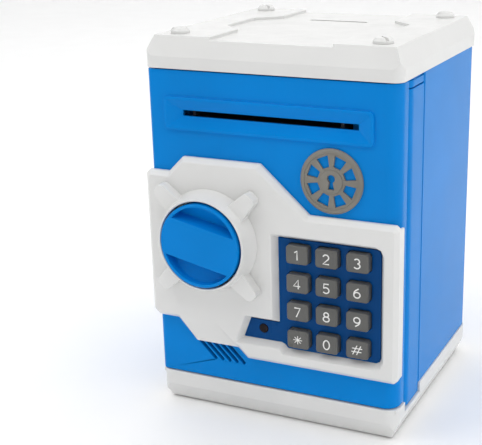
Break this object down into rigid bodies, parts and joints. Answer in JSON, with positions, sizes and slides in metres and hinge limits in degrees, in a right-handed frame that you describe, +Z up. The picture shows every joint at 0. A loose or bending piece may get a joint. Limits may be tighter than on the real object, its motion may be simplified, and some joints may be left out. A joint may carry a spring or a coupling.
{
  "type": "toy cash machine bank",
  "caption": "Toy cash-machine money bank with a hinged keypad door, turning dial lock, note feeder, coin slot and hollow money compartment.",
  "frame": {"origin": "centre of the base's footprint on the surface the bank stands on", "axes": "+Z up, -Y out of the door's face, +X towards the hinge side, to the right as seen by someone facing the door"},
  "size_m": [0.1316, 0.1365, 0.1929],
  "materials": {
    "blue_plastic": "smooth moulded, half gloss",
    "panel_blue": "satin moulded",
    "white_plastic": "smooth moulded, half gloss",
    "key_grey": "fine texture with white symbols",
    "badge_grey": "fine texture",
    "steel": "bright",
    "dark_plastic": "plain moulded",
    "coil_tape": "taped winding",
    "black_rubber": "matt",
    "silicone": "matt, part clear",
    "circuit_board": "coated laminate",
    "chip_black": "moulded",
    "cone_black": "paper cone",
    "led_red": "clear tinted",
    "cell_jacket": "printed jacket",
    "brass": "cut"
  },
  "bodies": {
    "case": {"case_shell": "blue_plastic", "top_lid": "white_plastic", "base_tray": "white_plastic", "lid_studs": "white_plastic", "lid_screws": "steel", "base_screws": "steel", "rubber_feet": "black_rubber", "hinge_pin": "steel", "hinge_post_cap": "blue_plastic"},
    "door": {"door_panel": "blue_plastic", "trim_plate": "white_plastic", "dial_collar": "white_plastic", "keypad_panel": "panel_blue", "badge": "badge_grey", "hinge_leaves": "blue_plastic", "door_screws": "steel", "door_back_cover": "blue_plastic", "cover_screws": "steel", "key_mat": "silicone", "keypad_board": "circuit_board", "status_led": "led_red", "speaker_frame": "dark_plastic", "speaker_cone": "cone_black", "main_board": "circuit_board", "board_chips": "chip_black", "feed_frame": "dark_plastic", "feed_motor": "steel", "lock_solenoid": "coil_tape", "latch_guide": "dark_plastic", "battery_cover": "blue_plastic", "battery_cover_screw": "steel", "battery_cells": "cell_jacket", "battery_contacts": "steel"},
    "dial": {"dial_knob": "blue_plastic", "dial_spindle": "white_plastic"},
    "bolt": {"latch_bolt": "steel"},
    "plunger": {"lock_plunger": "steel"},
    "feed_roller": {"feed_shaft": "steel", "feed_sleeves": "black_rubber", "feed_gear": "white_plastic"},
    "idler_roller": {"idler_shaft": "steel", "idler_sleeves": "black_rubber"},
    "motor_rotor": {"motor_pinion": "brass"},
    "button_1": {"key_1": "key_grey"},
    "button_2": {"key_2": "key_grey"},
    "button_3": {"key_3": "key_grey"},
    "button_4": {"key_4": "key_grey"},
    "button_5": {"key_5": "key_grey"},
    "button_6": {"key_6": "key_grey"},
    "button_7": {"key_7": "key_grey"},
    "button_8": {"key_8": "key_grey"},
    "button_9": {"key_9": "key_grey"},
    "button_star": {"key_star": "key_grey"},
    "button_0": {"key_0": "key_grey"},
    "button_hash": {"key_hash": "key_grey"}
  },
  "joints": [
    {"name": "door_hinge", "type": "hinge", "parent": "case", "child": "door", "pos_m": [0.0562, -0.0401, 0.09], "axis": [0, 0, 1], "range_deg": [0, 90]},
    {"name": "dial_turn", "type": "hinge", "parent": "door", "child": "dial", "pos_m": [-0.0305, -0.06, 0.0934], "axis": [0, -1, 0], "range_deg": [0, 90]},
    {"name": "bolt_slide", "type": "slide", "parent": "door", "child": "bolt", "axis": [-1, 0, 0], "range_m": [0, 0.00786]},
    {"name": "plunger_slide", "type": "slide", "parent": "door", "child": "plunger", "axis": [0, 0, -1], "range_m": [0, 0.003], "stiffness_N_per_m": 120},
    {"name": "feed_spin", "type": "hinge", "parent": "door", "child": "feed_roller", "pos_m": [0, -0.034, 0.14895], "axis": [1, 0, 0], "continuous": true},
    {"name": "idler_spin", "type": "hinge", "parent": "door", "child": "idler_roller", "pos_m": [0, -0.034, 0.15845], "axis": [1, 0, 0], "continuous": true},
    {"name": "motor_spin", "type": "hinge", "parent": "door", "child": "motor_rotor", "pos_m": [-0.045, -0.02297, 0.13792], "axis": [1, 0, 0], "continuous": true},
    {"name": "press_1", "type": "slide", "parent": "door", "child": "button_1", "axis": [0, 1, 0], "range_m": [0, 0.0015], "stiffness_N_per_m": 350},
    {"name": "press_2", "type": "slide", "parent": "door", "child": "button_2", "axis": [0, 1, 0], "range_m": [0, 0.0015], "stiffness_N_per_m": 350},
    {"name": "press_3", "type": "slide", "parent": "door", "child": "button_3", "axis": [0, 1, 0], "range_m": [0, 0.0015], "stiffness_N_per_m": 350},
    {"name": "press_4", "type": "slide", "parent": "door", "child": "button_4", "axis": [0, 1, 0], "range_m": [0, 0.0015], "stiffness_N_per_m": 350},
    {"name": "press_5", "type": "slide", "parent": "door", "child": "button_5", "axis": [0, 1, 0], "range_m": [0, 0.0015], "stiffness_N_per_m": 350},
    {"name": "press_6", "type": "slide", "parent": "door", "child": "button_6", "axis": [0, 1, 0], "range_m": [0, 0.0015], "stiffness_N_per_m": 350},
    {"name": "press_7", "type": "slide", "parent": "door", "child": "button_7", "axis": [0, 1, 0], "range_m": [0, 0.0015], "stiffness_N_per_m": 350},
    {"name": "press_8", "type": "slide", "parent": "door", "child": "button_8", "axis": [0, 1, 0], "range_m": [0, 0.0015], "stiffness_N_per_m": 350},
    {"name": "press_9", "type": "slide", "parent": "door", "child": "button_9", "axis": [0, 1, 0], "range_m": [0, 0.0015], "stiffness_N_per_m": 350},
    {"name": "press_star", "type": "slide", "parent": "door", "child": "button_star", "axis": [0, 1, 0], "range_m": [0, 0.0015], "stiffness_N_per_m": 350},
    {"name": "press_0", "type": "slide", "parent": "door", "child": "button_0", "axis": [0, 1, 0], "range_m": [0, 0.0015], "stiffness_N_per_m": 350},
    {"name": "press_hash", "type": "slide", "parent": "door", "child": "button_hash", "axis": [0, 1, 0], "range_m": [0, 0.0015], "stiffness_N_per_m": 350}
  ],
  "couplings": [
    {"joint": "bolt_slide", "follows": "dial_turn", "m_per_rad": 0.005},
    {"joint": "idler_spin", "follows": "feed_spin", "ratio": -1},
    {"joint": "motor_spin", "follows": "feed_spin", "ratio": -3.3333}
  ]
}
